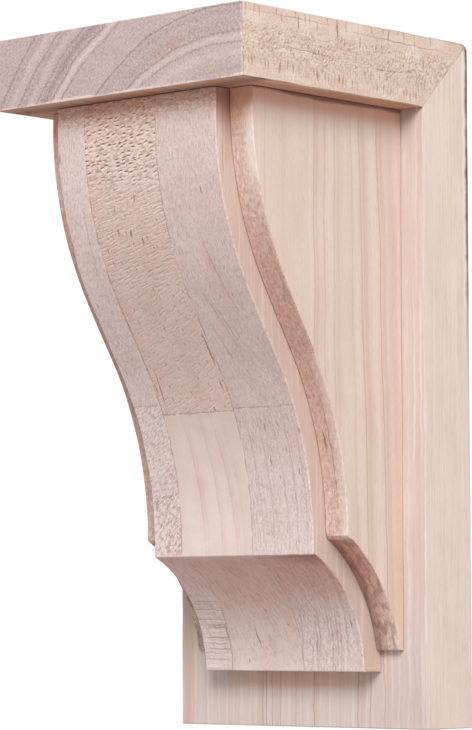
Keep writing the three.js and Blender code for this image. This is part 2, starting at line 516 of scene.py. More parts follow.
def built_board(name, board, relief, slot_of, chip):
    """Makes the mesh object of a board. relief and chip give the depth of the front's relief and
    of a chip in its edge at places across and down, and slot_of gives the material slot of faces
    by part, place across and place down."""
    rows, columns = board.rows, board.columns
    count = len(board.loop)

    def front_only(x, far):
        depth = relief(x, far)
        inside = np.minimum(x - board.low_x, board.high_x - x) / SIDE_FADE
        ends = np.minimum(far, far[rows - 1] - far) / END_FADE
        fade = np.clip(np.minimum(inside, ends), 0, 1)
        return np.where(np.arange(count)[:, None] < rows, depth * fade + chip(x, far), 0)

    points, walked = board.mantle(front_only)
    wide = points.shape[1]
    numbers = np.arange(count * wide).reshape(count, wide)
    ring = np.vstack([numbers, numbers[:1]])
    down = np.arange(rows)
    over = np.arange(columns)
    bottom_start = rows - 1
    back_start = bottom_start + columns - 1
    top_start = back_start + rows - 1

    vertices = [points.reshape(-1, 3)]
    place = [np.stack([points[..., 0].ravel(), walked.ravel(), np.zeros(points[..., 0].size)], axis=1)]
    faces, slots = [], []

    def add(index, part):
        made = sheet_of_faces(index)
        centre_x = points.reshape(-1, 3)[made, 0].mean(axis=1)
        centre_far = walked.reshape(-1)[made].mean(axis=1)
        faces.extend(made.tolist())
        slots.append(np.broadcast_to(slot_of(part, centre_x, centre_far), len(made)))

    edge = EASE_STEPS
    inner = slice(edge, wide - edge)
    add(ring[:rows], "front")
    add(ring[bottom_start:back_start + 1], "bottom")
    add(ring[top_start:], "top")
    add(ring[back_start:top_start + 1, :edge + 1], "back")
    add(ring[back_start:top_start + 1, wide - 1 - edge:], "back")
    wall = ring[back_start:top_start + 1, inner]
    faces.append([*wall[:, 0], *wall[-1, 1:], *wall[-2::-1, -1], *wall[0, -2:0:-1]])
    slots.append(np.broadcast_to(slot_of("back", 0, 0), 1))

    for column, part in ((0, "left"), (wide - 1, "right")):
        border = points[:, column]
        patch = filled(border[down], border[top_start - down], border[-over], border[bottom_start + over])
        index = np.zeros((rows, columns), int)
        inside = (rows - 2) * (columns - 2)
        index[1:-1, 1:-1] = sum(map(len, vertices)) + np.arange(inside).reshape(rows - 2, -1)
        index[:, 0] = numbers[down, column]
        index[:, -1] = numbers[top_start - down, column]
        index[0] = numbers[-over, column]
        index[-1] = numbers[bottom_start + over, column]
        vertices.append(patch[1:-1, 1:-1].reshape(-1, 3))
        place.append(np.zeros((inside, 3)))
        made = sheet_of_faces(index)
        if part == "left":
            made = made[:, ::-1]
        faces.extend(made.tolist())
        slots.append(np.broadcast_to(slot_of(part, 0, 0), len(made)))

    mesh = bpy.data.meshes.new(name)
    mesh.from_pydata(np.vstack(vertices).tolist(), [], faces)
    mesh.polygons.foreach_set("material_index", np.concatenate(slots).astype(np.int32))
    attribute = mesh.attributes.new("face_place", "FLOAT_VECTOR", "POINT")
    attribute.data.foreach_set("vector", (np.vstack(place) / MM).astype(np.float32).ravel())
    mesh.shade_smooth()
    mesh.set_sharp_from_angle(angle=CRISP_TURN)
    mesh.validate()
    return added(name, mesh)


def across_places(low, high, arris, gap, marks=()):
    """Places along X between two sides, clear of the eased edges."""
    inside = arris + EDGE_CLEAR
    return low + inside + spread(high - low - 2 * inside, gap, np.asarray(marks) - low - inside)


def end_steps(reach, radius):
    """Places close to both ends of a run, where its eased corners need more rows."""
    near = END_ROWS * radius
    return np.concatenate([near, reach - near])


class Grid(NamedTuple):
    """How finely a board is divided, down and across its front and from front to back, and the
    size and seed of its front's unevenness. The column end is the share of the way from front to
    back in which the columns close up."""

    row_gap: float
    across_gap: float
    columns: int
    column_end: float
    wave: float
    seed: int


SHELF_GRID = Grid(row_gap=1.5 * MM, across_gap=1.5 * MM, columns=80, column_end=0.007, wave=14 * MM, seed=3)
BACK_GRID = Grid(row_gap=2.5 * MM, across_gap=2.0 * MM, columns=16, column_end=0.025, wave=20 * MM, seed=5)
BLOCK_GRID = Grid(row_gap=0.75 * MM, across_gap=0.75 * MM, columns=24, column_end=0.007, wave=9 * MM, seed=7)
CHEEK_GRID = Grid(row_gap=1.2 * MM, across_gap=0.9 * MM, columns=40, column_end=0.007, wave=7 * MM, seed=11)


def nothing(x, far):
    """No groove or chip anywhere."""
    return np.zeros_like(far)


def sanded_board(name, low, high, runs, grid, glued, slot_of, changes=(), seams_at=(), groove=nothing,
                 chip=nothing):
    """Makes a board between the x of low and of high. glued says which points of its outline are
    in a joint, changes and seams_at where rows and columns close up, down and across its front,
    and groove how deep a groove in the front is."""
    edges = bpy.context.scene.corbel_edges
    reach = walk(runs[0])[-1]
    rows = np.unique(np.concatenate([spread(reach, grid.row_gap, changes, CHANGE_ROWS),
                                     end_steps(reach, edges.corner)]))
    columns = np.unique(np.concatenate([np.linspace(0, 1, grid.columns), end_steps(1, grid.column_end)]))
    across = across_places(low.x, high.x, edges.arris, grid.across_gap, seams_at)
    board = Board(runs, rows, columns, low.x, high.x, across, worn(edges, glued))
    return built_board(name + "_sanded", board,
                       lambda x, far: edges.sanding * waves(x, far, grid.wave, grid.seed) + groove(x, far),
                       slot_of, chip)


# Wood

# How a value rises or falls between two others
SMOOTH = {"interpolation_type": "SMOOTHSTEP"}

# Share of a dash's radius that is in full tone, share of the dashes that are, and how scattered
# the dashes are
DASH_CORE, FULL_DASHES, DASH_SCATTER = 0.55, 0.4, 0.85

# Size in mm of the patches in which every line is frayed, and in which a seam shows
FRAY_SIZE, SEAM_PATCH = 1.8, 3.5

# How far noise strays from its middle value
NOISE_SWING = 0.25

# Half width of a seam's line at its rim and where it is in full tone, in mm
SEAM_RIM, SEAM_CORE = 0.55, 0.1

# Marks in the wood are soft at the rim, so their tone is raised to show as wide as they are
SPOT_GAIN = 1.9

# Farther off than anything on the bracket, in mm
OUTSIDE = 1000.0

# How strongly the layers' relief is shown, and the refraction of bare wood
BUMP_STRENGTH, WOOD_IOR = 0.35, 1.5

# The bracket's top and bottom and the shelf's front edge in mm, and the front of the right cheek
TOP, BOTTOM, FRONT, CHEEK = SHELF_HIGH.z / MM, BACK_LOW.z / MM, SHELF_LOW.y / MM, RIGHT_LOW.y / MM


def node(tree, kind, inputs=None, **settings):
    """Adds a node with its settings. Each input gets a value, or a link from a socket or from the
    first output in use of another node."""
    made = tree.nodes.new(kind)
    for name, value in settings.items():
        setattr(made, name, value)
    for name, value in (inputs or {}).items():
        if isinstance(value, bpy.types.Node):
            value = next(socket for socket in value.outputs if socket.enabled)
        if isinstance(value, bpy.types.NodeSocket):
            tree.links.new(value, made.inputs[name])
        else:
            made.inputs[name].default_value = value
    return made


def empty_tree(owner):
    """The node tree of a new material or world, with nothing in it."""
    owner.use_nodes = True
    owner.node_tree.nodes.clear()
    return owner.node_tree


def warped(tree, place, size, amount):
    """The place, pushed about by up to amount mm in patches of size mm, so that lines wander."""
    noise = node(tree, "ShaderNodeTexNoise", {"Vector": place, "Scale": 1 / size, "Detail": 2.0})
    centred = node(tree, "ShaderNodeVectorMath", {0: noise.outputs["Color"], 1: (0.5, 0.5, 0.5)},
                   operation="SUBTRACT")
    push = node(tree, "ShaderNodeVectorMath", {0: centred, "Scale": amount / NOISE_SWING}, operation="SCALE")
    return node(tree, "ShaderNodeVectorMath", {0: place, 1: push}, operation="ADD")


def clouds(tree, place, size, stretch, tilt, detail):
    """Soft noise of about size mm, stretched along the two axes and tilted by degrees."""
    laid = node(tree, "ShaderNodeMapping", {"Vector": place, "Rotation": (0, 0, math.radians(tilt)),
                "Scale": (size * stretch[0], size * stretch[1], 1)}, vector_type="TEXTURE")
    return node(tree, "ShaderNodeTexNoise", {"Vector": laid, "Scale": 1.0, "Detail": detail},
                noise_dimensions="2D")


def apart(tree, value, place):
    """How far a value is from a place."""
    off = node(tree, "ShaderNodeMath", {0: value, 1: place}, operation="SUBTRACT")
    return node(tree, "ShaderNodeMath", {0: off}, operation="ABSOLUTE")


def mottle(tree, place, size, stretch=(1, 1), tilt=0, detail=3, low=0.35, high=0.7):
    """Soft patches: clouds, counted as 0 up to low and as 1 from high."""
    noise = clouds(tree, place, size, stretch, tilt, detail)
    return node(tree, "ShaderNodeMapRange", {"Value": noise, "From Min": low, "From Max": high}, **SMOOTH)


def flecks(tree, place, cell, dash, tilt, share, shift=0):
    """Short dashes, one in each cell of a scattered pattern. cell and dash are sizes along and
    across the dashes, share is the part of the cells that have one, and shift moves them down."""
    laid = node(tree, "ShaderNodeMapping", {"Vector": place, "Location": (0, shift, 0),
                "Rotation": (0, 0, math.radians(tilt)), "Scale": (*cell, 1)}, vector_type="TEXTURE")
    cells = node(tree, "ShaderNodeTexVoronoi", {"Vector": laid, "Scale": 1.0, "Randomness": DASH_SCATTER},
                 voronoi_dimensions="2D")
    away = node(tree, "ShaderNodeVectorMath", {0: laid, 1: cells.outputs["Position"]}, operation="SUBTRACT")
    scale = (2 * cell[0] / dash[0], 2 * cell[1] / dash[1], 0)
    shaped = node(tree, "ShaderNodeVectorMath", {0: away, 1: scale}, operation="MULTIPLY")
    radius = node(tree, "ShaderNodeVectorMath", {0: shaped}, operation="LENGTH")
    chance = node(tree, "ShaderNodeSeparateColor", {"Color": cells.outputs["Color"]})
    there = node(tree, "ShaderNodeMapRange", {"Value": chance, "From Min": 1 - share,
                 "From Max": 1 - share * FULL_DASHES})
    return node(tree, "ShaderNodeMapRange", {"Value": radius.outputs["Value"], "From Min": 1.0,
                "From Max": DASH_CORE, "To Max": there}, **SMOOTH)


def curls(tree, place, size, width=0.05, stretch=(1, 1), tilt=0):
    """Short wandering lines: where clouds pass their middle value."""
    off = apart(tree, clouds(tree, place, size, stretch, tilt, 1.0), 0.5)
    return node(tree, "ShaderNodeMapRange", {"Value": off, "From Min": width, "From Max": width / 4},
                **SMOOTH)


def marks(tree, place, spots):
    """Single pores, cracks and growth lines, and spots of painted shade, each (across, down, length,
    thickness, tilt in degrees, depth of tone): a soft ellipse about its place."""
    total = 0.0
    for x, y, long, thick, tilt, tone in spots:
        laid = node(tree, "ShaderNodeMapping", {"Vector": place, "Location": (x, y, 0),
                    "Rotation": (0, 0, math.radians(tilt)), "Scale": (long / 2, thick / 2, OUTSIDE)},
                    vector_type="TEXTURE")
        spot = node(tree, "ShaderNodeTexGradient", {"Vector": laid}, gradient_type="SPHERICAL")
        total = node(tree, "ShaderNodeMath", {0: spot.outputs["Fac"], 1: tone * SPOT_GAIN, 2: total},
                     operation="MULTIPLY_ADD", use_clamp=True)
    return total


def bands(tree, value, lines):
    """Growth lines across a value in mm, each (place, half width, depth of tone)."""
    total = 0.0
    for at, width, tone in lines:
        shade = node(tree, "ShaderNodeMapRange", {"Value": apart(tree, value, at), "From Min": width,
                     "From Max": 0.0, "To Max": tone}, **SMOOTH)
        total = node(tree, "ShaderNodeMath", {0: total, 1: shade}, operation="MAXIMUM")
    return total


def rings(tree, place, heart, lines):
    """Growth rings about a heart, each (radius, half width, depth of tone)."""
    radius = node(tree, "ShaderNodeVectorMath", {0: place, 1: (*heart, 0)}, operation="DISTANCE")
    return bands(tree, radius.outputs["Value"], lines)


def strands(tree, place, lines, lean=0.0, lean_from=(0, 1)):
    """Growth lines, and bands of painted shade, along the second axis, each (place on the first axis, half
    width, depth of tone). They lean by so many mm over the height of a cheek, in full past the second place."""
    axes = node(tree, "ShaderNodeSeparateXYZ", {0: place})
    drop = node(tree, "ShaderNodeMapRange", {"Value": axes.outputs["Y"], "From Min": SHELF_LOW.z / MM,
                "From Max": BACK_LOW.z / MM, "To Max": lean})
    depth = node(tree, "ShaderNodeMapRange", {"Value": axes.outputs["X"], "From Min": lean_from[0],
                 "From Max": lean_from[1], "To Max": drop}, **SMOOTH)
    shifted = node(tree, "ShaderNodeMath", {0: axes.outputs["X"], 1: depth}, operation="SUBTRACT")
    return bands(tree, shifted, lines)


def seams(tree, place, at):
    """Thin lines where staves meet, each (axis, place along it), broken up as sanding left them."""
    axes = node(tree, "ShaderNodeSeparateXYZ", {0: place})
    near = OUTSIDE
    for axis, spot in at:
        off = apart(tree, axes.outputs[axis], spot)
        near = node(tree, "ShaderNodeMath", {0: near, 1: off}, operation="MINIMUM")
    uneven = mottle(tree, place, SEAM_PATCH, (1, 2), low=0.3, high=0.62)
    return node(tree, "ShaderNodeMapRange", {"Value": near, "From Min": SEAM_RIM, "From Max": SEAM_CORE,
                "To Max": uneven}, **SMOOTH)


def zone(tree, value, start, full, fade, end):
    """1 from full to fade, and sloping down to 0 at start and at end."""
    rise = node(tree, "ShaderNodeMapRange", {"Value": value, "From Min": start, "From Max": full}, **SMOOTH)
    return node(tree, "ShaderNodeMapRange", {"Value": value, "From Min": end, "From Max": fade,
                "To Max": rise}, **SMOOTH)


def wood(name, order, colours, base, layers, wander=(6, 0.5), fray=0.12, roughness=0.67, relief=0.03):
    """Bare sanded wood: the base colour with each layer's colour laid over it, which is also sunk
    relief mm deep unless it is the pale wood. order names the two axes of the face, or is "face"
    for across and down the piece's front. A layer is (pattern, its settings, colour, strength,
    zone), where the zone is the stretch of the second axis that it keeps to, or is left out. The
    lines wander by so many mm in patches of a size, and are frayed by so many mm."""
    material = bpy.data.materials.new(name)
    tree = empty_tree(material)
    if order == "face":
        flat = node(tree, "ShaderNodeAttribute", attribute_name="face_place").outputs["Vector"]
    else:
        spot = node(tree, "ShaderNodeTexCoord").outputs["Object"]
        scaled = node(tree, "ShaderNodeVectorMath", {0: spot, "Scale": 1 / MM}, operation="SCALE")
        axes = node(tree, "ShaderNodeSeparateXYZ", {0: scaled}).outputs
        flat = node(tree, "ShaderNodeCombineXYZ", {0: axes[order[0]], 1: axes[order[1]]})
    place = warped(tree, warped(tree, flat, *wander), FRAY_SIZE, fray)
    level = node(tree, "ShaderNodeSeparateXYZ", {0: place}).outputs["Y"]
    tone, depth = getattr(colours, base), 0.0
    for pattern, settings, laid_over, strength, *stretch in layers:
        share = strength
        if pattern:
            share = node(tree, "ShaderNodeMath", {0: pattern(tree, place, **settings), 1: strength},
                         operation="MULTIPLY")
        for bounds in stretch:
            share = node(tree, "ShaderNodeMath", {0: share, 1: zone(tree, level, *bounds)},
                         operation="MULTIPLY")
        tone = node(tree, "ShaderNodeMix", {0: share, 6: tone, 7: getattr(colours, laid_over)},
                    data_type="RGBA")
        if pattern and laid_over != "pale_wood_and_highlight":
            depth = node(tree, "ShaderNodeMath", {0: depth, 1: share}, operation="ADD")
    sunk = node(tree, "ShaderNodeBump", {"Height": depth, "Strength": BUMP_STRENGTH,
                "Distance": relief * MM}, invert=True)
    shader = node(tree, "ShaderNodeBsdfPrincipled", {"Base Color": tone, "Roughness": roughness,
                  "IOR": WOOD_IOR, "Normal": sunk})
    node(tree, "ShaderNodeOutputMaterial", {"Surface": shader})
    return material


def below(*falls):
    """Heights that far below the top of the bracket, in mm."""
    return tuple(TOP - fall for fall in falls)


# Beech end grain, cross-cut and sanded, is greyish and matt. Its growth rings are wide arcs about
# a heart low on the right, and its pores are fine dark specks.
HEART = (62.6, 44.5)
SHELF_END = (
    (mottle, {"size": 11}, "ring", 0.10),
    (rings, {"heart": HEART, "lines": ((125.2, 2.2, 1.0), (93.4, 2.2, 0.7), (86.5, 3.0, 0.6),
     (148.6, 3, 0.5), (139.4, 2.5, 0.4))}, "pale_wood_and_highlight", 0.34),
    (marks, {"spots": ((32, 136.5, 26, 9, 18, 0.8), (50, 125, 26, 5, 0, 0.4))}, "pink", 0.42),
    (rings, {"heart": HEART, "lines": ((154.4, 1.4, 0.75), (151.5, 3.0, 0.3), (144.3, 1.1, 0.8),
     (141.6, 2.6, 0.35), (135.2, 1.4, 0.7), (131.5, 3.9, 0.8), (127.8, 1.2, 0.8), (122.6, 0.9, 0.6),
     (107.2, 0.8, 1.0), (104.5, 3.0, 0.32), (98.8, 4.4, 0.3), (95.6, 0.9, 0.8), (91.2, 0.7, 0.7),
     (80.0, 1.4, 0.3), (70.0, 1.4, 0.3))}, "ring", 0.62),
    (mottle, {"size": 0.9, "stretch": (4, 1), "tilt": 48, "detail": 2, "low": 0.45, "high": 0.7}, "ring",
     0.14),
    (mottle, {"size": 0.8, "stretch": (1.6, 1), "tilt": 40, "low": 0.4, "high": 0.65}, "pale_wood_and_highlight", 0.24),
    (mottle, {"size": 0.5, "detail": 2, "low": 0.5, "high": 0.68}, "pore_and_shade", 0.20),
    # Painted highlight: a pale line along the bottom edge of the end grain, where the eased edge turns down
    (None, {}, "pale_wood_and_highlight", 0.50, below(33, 32, 31.2, 30.4)),
)

# Beech long grain cut on the quarter, planed and sanded, shows its rays: upright flecks in a band
# along the top and a closer one along the bottom, and fine wavy specks between the two.
SHELF_SIDE = (
    (mottle, {"size": 9, "stretch": (1.8, 1)}, "fleck", 0.12),
    (mottle, {"size": 6, "stretch": (2.4, 1), "low": 0.5, "high": 0.65}, "pale_wood_and_highlight", 0.35),
    (mottle, {"size": 1.0, "stretch": (9, 0.8), "detail": 2, "low": 0.5, "high": 0.68}, "fleck", 0.30,
     below(22, 19, 14, 11)),
    (mottle, {"size": 1.1, "stretch": (1, 3.4), "detail": 2, "low": 0.5, "high": 0.72}, "ray", 0.30,
     below(31, 29, 22, 19)),
    (curls, {"size": 3.0, "stretch": (1.5, 1), "width": 0.05}, "fleck", 0.42, below(26, 21, 10, 7)),
    (flecks, {"cell": (2.6, 1.9), "dash": (1.9, 0.9), "tilt": 35, "share": 0.7, "shift": 0.7}, "pale_wood_and_highlight", 0.6,
     below(24, 20, 10, 7)),
    (flecks, {"cell": (3.1, 2.2), "dash": (2.3, 0.8), "tilt": 50, "share": 0.8}, "ray", 0.62,
     below(24, 20, 10, 7)),
    (flecks, {"cell": (12, 5.2), "dash": (10, 1.2), "tilt": 90, "share": 0.7}, "ray", 0.50,
     below(10.5, 8, -3, -4)),
    (flecks, {"cell": (6.6, 2.3), "dash": (6, 1.1), "tilt": 88, "share": 0.65}, "ray", 0.58,
     below(30.5, 28.5, 22, 19.5)),
    (flecks, {"cell": (3.4, 2.8), "dash": (3.0, 0.9), "tilt": 70, "share": 0.6}, "fleck", 0.40,
     below(27, 22, 9, 6)),
    (marks, {"spots": ((-120, TOP - 3.2, 80, 0.7, 0, 0.4), (-50, TOP - 5.2, 90, 0.7, -1, 0.6),
     (-110, TOP - 16.5, 70, 0.8, -1, 0.5), (-60, TOP - 18.5, 50, 0.8, 2, 0.4),
     (-126.5, TOP - 25, 6.5, 1.5, 86, 1.0), (-136, TOP - 25, 5.5, 0.9, 88, 0.8),
     (-134, TOP - 25, 6, 0.9, 91, 0.8), (-102.5, TOP - 25.3, 6.5, 1.0, 94, 0.9),
     (-125.5, TOP - 4.5, 6, 0.9, 90, 0.8), (-114.8, TOP - 5, 9, 1.2, 90, 0.9),
     (-102.5, TOP - 5, 6, 0.9, 90, 0.7), (-89, TOP - 6, 11, 1.4, 90, 1.0),
     (-86.4, TOP - 9, 5, 0.9, 90, 0.8), (-84.4, TOP - 9.4, 4, 0.8, 90, 0.8),
     (-63.6, TOP - 9.4, 5, 1.1, 90, 1.0), (-74, TOP - 8, 5, 0.9, 90, 0.7), (-55, TOP - 5, 8, 0.9, 90, 0.8),
     (-50, TOP - 11, 5, 0.8, 80, 0.6), (-88, TOP - 26, 5, 0.9, 90, 0.9), (-85.5, TOP - 26, 5, 0.9, 90, 0.9),
     (-31, TOP - 13, 7, 1.0, 96, 0.8), (-21, TOP - 23, 8, 0.9, 84, 0.6))}, "ray", 0.75),
    (mottle, {"size": 0.7, "stretch": (2, 1), "low": 0.4, "high": 0.66}, "pale_wood_and_highlight", 0.26),
    (mottle, {"size": 0.6, "stretch": (2, 1), "low": 0.46, "high": 0.7}, "fleck", 0.20),
)

# Beech long grain, planed and sanded, is even, with faint streaks along the grain.
PLAIN = (
    (mottle, {"size": 16, "stretch": (1, 2.5), "detail": 2}, "line", 0.09),
    (mottle, {"size": 1.3, "stretch": (1, 45)}, "line", 0.14),
    (mottle, {"size": 0.5, "stretch": (1, 12)}, "line", 0.12),
    (mottle, {"size": 2.0, "stretch": (1, 40), "low": 0.5, "high": 0.7}, "pale_wood_and_highlight", 0.3),
)

# The shelf's underside is plain too, in a darker, warmer painted shade, with a band of painted shadow near
# its front edge where it meets the block's front.
SHELF_UNDER = (*PLAIN, (None, {}, "pore_and_shade", 0.50, (FRONT + 1.5, FRONT + 10.5, FRONT + 12.5, FRONT + 20.5)))

# The upper part of the back board's far edge is dark, with a pale line beside it.
EDGE_LINE = below(160, 80, -2, -3)
BACK_SIDE = (
    *PLAIN,
    (strands, {"lines": ((-3.4, 1.4, 1.0),)}, "pale_wood_and_highlight", 0.7, EDGE_LINE),
    (strands, {"lines": ((-0.7, 1.9, 1.0),)}, "pore_and_shade", 1.0, EDGE_LINE),
)
BACK_BACK = (
    *PLAIN,
    (strands, {"lines": ((SHELF_HIGH.x / MM, 1.7, 1.0),)}, "pore_and_shade", 1.0, EDGE_LINE),
)

# The back board is flat-sawn beech, planed and sanded: pale, with a few wavy growth lines low down.
BACK_FACE = (
    *PLAIN,
    # Painted shadow: a warm dark patch on the back board just under the block's foot
    (marks, {"spots": ((0, BOTTOM + 21, 108, 12, 0, 1.0),)}, "painted_warm_shade", 0.26),
    # The wide band at the left edge is a pink growth band, made stronger as painted shade from the block
    (strands, {"lines": ((-69, 6, 1.0), (-66, 1.2, 0.7), (-58, 1.2, 0.3), (-44, 0.8, 0.3), (-24, 3.0, 0.4),
     (-14.5, 2.6, 0.4), (10, 3.0, 0.4), (-2, 2.0, 0.3), (37, 3.5, 0.4), (51, 2.6, 0.3), (66, 1.0, 0.35),
     (69.5, 0.8, 0.3))}, "pink", 0.5),
    (strands, {"lines": ((-22.5, 0.7, 0.7), (-20.5, 0.6, 0.9), (-17, 0.6, 0.8), (-12, 0.7, 0.7),
     (-3, 0.6, 0.4), (8, 0.7, 0.9), (21, 0.6, 0.4), (34, 0.7, 0.8), (41, 0.6, 0.7), (49, 0.8, 0.7))},
     "figure_and_shade", 0.48),
)

# Painted shade: the top of the cheeks' sides is painted in the shelf's warm shade, with a painted dark shadow
# line right under the shelf.
SHELF_SHADE = (
    (None, {}, "pale_wood_and_highlight", 0.35, below(46, 36, 0, -1)),
    (None, {}, "painted_warm_shade", 0.42, below(44, 35, 0, -1)),
    (None, {}, "pore_and_shade", 0.70, below(33.8, 32.4, 0, -1)),
)

# The block's side is plain, with painted brown shade at the top of the gap between block and cheek, and
# pinker beside the cheek.
BLOCK_SIDE = (
    *PLAIN,
    (strands, {"lines": ((CHEEK - 1.4, 2.9, 1.0),)}, "pink", 0.44, below(68, 60, 0, -1)),
    (strands, {"lines": ((CHEEK - 3.9, 0.5, 1.0),)}, "figure_and_shade", 0.40, below(76, 62, 0, -1)),
    (None, {}, "painted_warm_shade", 0.34, below(50, 38, 0, -1)),
    (None, {}, "pore_and_shade", 0.42, below(54, 35, 0, -1)),
)

# A cheek is flat-sawn beech, planed and sanded: long even growth lines that lean a little towards
# the back board lower down, with paler early wood beside them.
CHEEK_SIDE = (
    (mottle, {"size": 18, "stretch": (1, 2), "detail": 2}, "line", 0.08),
    (strands, {"lean": 8.0, "lean_from": (-76, -52), "lines": ((-126, 2.5, 0.6), (-92.5, 2.2, 0.9),
     (-80, 2.6, 0.8), (-70, 2, 0.4), (-63.5, 2.6, 0.8), (-52.5, 3.4, 1.0))}, "pale_wood_and_highlight", 0.30),
    (strands, {"lean": 8.0, "lean_from": (-76, -52), "lines": ((-122, 0.7, 0.55), (-110, 2.5, 0.2),
     (-90.3, 0.6, 0.9), (-88.5, 1.8, 0.35), (-83.5, 0.6, 0.55), (-77, 0.6, 0.6), (-74.5, 2.4, 0.3),
     (-66, 0.8, 0.3), (-60.6, 0.6, 0.9), (-58.3, 2.6, 0.4), (-48.6, 0.7, 1.0), (-46, 2.8, 0.4),
     (-40, 4.5, 0.35), (-34, 1.6, 0.4))}, "line", 0.55),
    (mottle, {"size": 0.9, "stretch": (1, 45)}, "line", 0.10),
    (mottle, {"size": 0.5, "stretch": (1, 7)}, "line", 0.12),
    *SHELF_SHADE,
)

# The edge of a cheek is scroll-sawn across the grain and lightly sanded: mottled pinkish brown, with short
# torn streaks.
# Painted shade makes it darker where it faces down, in the cove towards the block, and warm right under the
# shelf.
CHEEK_EDGE = (
    (mottle, {"size": 2.4, "stretch": (1, 1.8), "detail": 4, "low": 0.42, "high": 0.66}, "figure_and_shade", 0.18),
    (mottle, {"size": 1.6, "stretch": (1, 2), "tilt": 15, "low": 0.5, "high": 0.7}, "pale_wood_and_highlight", 0.32),
    (mottle, {"size": 0.8, "stretch": (1, 3.4), "low": 0.45, "high": 0.7}, "figure_and_shade", 0.22),
    (None, {}, "cove_shade", 0.25, (40, 80, 115, 205)),
    (None, {}, "figure_and_shade", 0.09, (40, 80, 115, 205)),
    (curls, {"size": 2.0, "stretch": (1, 2), "width": 0.07}, "figure_and_shade", 0.26),
    (strands, {"lines": ((59.5, 9.0, 1.0),)}, "pale_wood_and_highlight", 0.30, (0, 12, 32, 60)),
    (strands, {"lines": ((60.5, 6.4, 1.0),)}, "pale_wood_and_highlight", 0.40, (118, 121, 290, 300)),
    (marks, {"spots": ((52.4, 161, 11, 1.5, 89, 1.0), (55.1, 165, 92, 0.8, 90, 0.55),
     (58.5, 120, 8, 0.7, -4, 0.5), (-53.5, 120, 20, 1.0, 90, 0.6), (50, 214, 5, 1.4, 0, 0.6))}, "pore_and_shade",
     0.62),
    (None, {}, "cove_shade", 0.60, (203, 205, 212, 266)),
    (mottle, {"size": 2.6, "stretch": (1, 3), "detail": 4, "low": 0.46, "high": 0.6}, "pore_and_shade", 0.40,
     (204, 206, 290, 300)),
    (strands, {"lines": ((48.2, 7.5, 1.0),)}, "pore_and_shade", 0.58, (204, 206, 290, 300)),
    (None, {}, "painted_warm_shade", 0.50, (-2, -1, 4, 22)),
    (strands, {"lines": ((58.6, 4.2, 1.0),)}, "pale_wood_and_highlight", 0.50, (5, 12, 34, 44)),
)


# The block's staves

# Every stave is a little pinker in places.
STAVE_GROUND = ((mottle, {"size": 13, "stretch": (1, 2), "detail": 2}, "pink", 0.18),)

# A scroll saw leaves fine wavy fibres in the harder staves.
HAIRS = (
    (mottle, {"size": 1.1, "stretch": (1, 2.6), "tilt": 8, "low": 0.48, "high": 0.66}, "pale_wood_and_highlight", 0.34),
    (mottle, {"size": 0.7, "stretch": (1, 2.2), "low": 0.42, "high": 0.68}, "figure_and_shade", 0.15),
    (curls, {"size": 1.7, "stretch": (1, 2.4), "width": 0.05}, "figure_and_shade", 0.20),
)

# Painted shade: the first stretch is painted as the shelf's warm shade, with pale and dark streaks and a dark
# shadow line at the top.
# The cove under the step is painted browner towards its top as shade, with slanting streaks.
STAVE_SHADE = (
    (mottle, {"size": 1.0, "stretch": (2.6, 1), "tilt": -10, "low": 0.48, "high": 0.58}, "pale_wood_and_highlight", 0.75,
     (-1, 1, 5, 13)),
    (curls, {"size": 1.8, "stretch": (2.2, 1), "tilt": -8, "width": 0.09}, "pore_and_shade", 0.32, (-2, -1, 5, 13)),
    (flecks, {"cell": (8, 1.3), "dash": (9, 0.7), "tilt": -4, "share": 0.9}, "pore_and_shade", 0.34, (-2, -1, 2, 7)),
    (None, {}, "painted_warm_shade", 0.34, (-2, -1, 1, 12)),
    (None, {}, "pore_and_shade", 0.45, (-2, -1, -0.2, 1.0)),
    (mottle, {"size": 1.0, "stretch": (1, 9), "tilt": -16, "low": 0.46, "high": 0.66}, "cove_shade", 0.36,
     (209.8, 211, 232, 262)),
    (mottle, {"size": 4.5, "stretch": (1, 1.8), "tilt": -12, "detail": 4, "low": 0.42, "high": 0.64},
     "figure_and_shade", 0.06, (209.8, 211, 262, 290)),
    (curls, {"size": 2.2, "stretch": (1, 3), "tilt": -14, "width": 0.05}, "figure_and_shade", 0.18,
     (209.8, 212, 262, 290)),
    (None, {}, "cove_shade", 0.26, (209.8, 210.8, 212, 262)),
)

